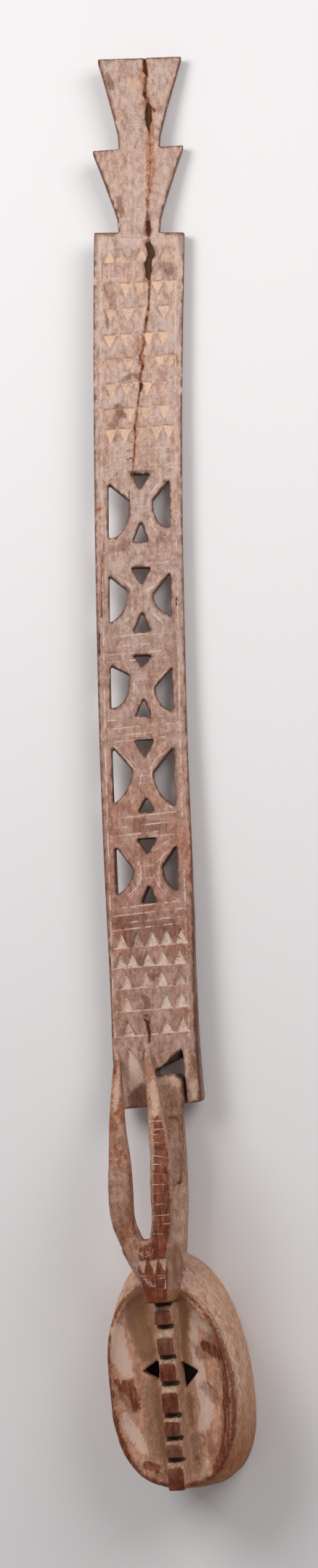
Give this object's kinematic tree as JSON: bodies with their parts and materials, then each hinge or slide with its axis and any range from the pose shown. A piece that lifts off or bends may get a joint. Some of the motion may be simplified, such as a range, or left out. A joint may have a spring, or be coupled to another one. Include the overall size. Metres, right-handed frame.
{
  "type": "plank mask",
  "caption": "Tall carved wooden plank mask: an oval hollow face with a toothed ridge, curved horns, and a pierced plank with trapezoid finials, worn over a dancer's face.",
  "frame": {"origin": "on the floor, below the middle of the bounding box, with the mask lying face up on the rear rim of its face and the low corner of its top", "axes": "+Y along the mask from the chin to the finials, +Z out of the carved front, +X to the right when the front is looked at with the finials up"},
  "size_m": [0.2244, 1.9332, 0.1608],
  "materials": {
    "wood": "dry weathered wood, matt, with traces of white and red earth colour"
  },
  "bodies": {
    "root": {"mask": "wood"}
  },
  "joints": []
}
